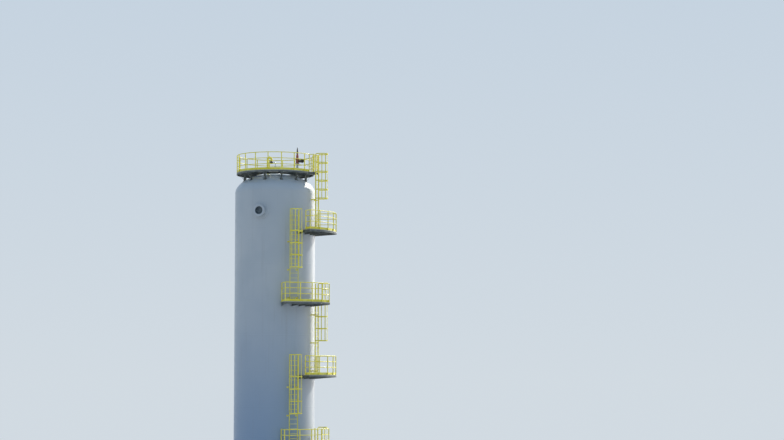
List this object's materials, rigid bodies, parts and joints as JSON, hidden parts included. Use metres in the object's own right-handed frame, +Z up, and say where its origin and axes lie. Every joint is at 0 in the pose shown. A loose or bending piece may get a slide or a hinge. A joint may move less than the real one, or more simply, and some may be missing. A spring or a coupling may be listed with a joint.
{
  "type": "vertical gas storage vessel",
  "caption": "Tall upright cylindrical pressure vessel with dished heads on a skirt, side platforms, caged ladders and a railed platform over its top head.",
  "frame": {"origin": "middle of the underside of the part's bounding box, on the ground", "axes": "+Z up along the vessel axis; +X towards the side that carries the end of the platforms; -Y towards the side that carries the front ladders"},
  "size_m": [6.6104, 6.6564, 27.92],
  "materials": {
    "shell_paint": "satin light grey enamel, faintly chalked",
    "yellow_paint": "weathered safety yellow enamel",
    "frame_paint": "dark grey primer, matt",
    "galvanised_steel": "dull hot-dip galvanised grating",
    "valve_paint": "weathered dark red enamel"
  },
  "bodies": {
    "root": {"base_ring": "shell_paint", "skirt": "shell_paint", "shell_course_1": "shell_paint", "shell_course_2": "shell_paint", "shell_course_3": "shell_paint", "shell_course_4": "shell_paint", "shell_course_5": "shell_paint", "top_head": "shell_paint", "bottom_head": "shell_paint", "inlet_pipe": "shell_paint", "trunnion_front": "shell_paint", "trunnion_rear": "shell_paint", "top_manhole": "shell_paint", "deck_level_1": "galvanised_steel", "frame_level_1": "frame_paint", "railing_level_1": "yellow_paint", "deck_level_2": "galvanised_steel", "frame_level_2": "frame_paint", "railing_level_2": "yellow_paint", "deck_level_3": "galvanised_steel", "frame_level_3": "frame_paint", "railing_level_3": "yellow_paint", "deck_level_4": "galvanised_steel", "frame_level_4": "frame_paint", "railing_level_4": "yellow_paint", "deck_level_5": "galvanised_steel", "frame_level_5": "frame_paint", "railing_level_5": "yellow_paint", "deck_top": "galvanised_steel", "frame_top": "frame_paint", "railing_top": "yellow_paint", "ladder_1": "yellow_paint", "cage_1": "yellow_paint", "ladder_2": "yellow_paint", "cage_2": "yellow_paint", "ladder_3": "yellow_paint", "cage_3": "yellow_paint", "ladder_4": "yellow_paint", "cage_4": "yellow_paint", "ladder_5": "yellow_paint", "cage_5": "yellow_paint", "ladder_6": "yellow_paint", "cage_6": "yellow_paint", "relief_valve": "valve_paint", "vent_gooseneck": "yellow_paint"}
  },
  "joints": []
}
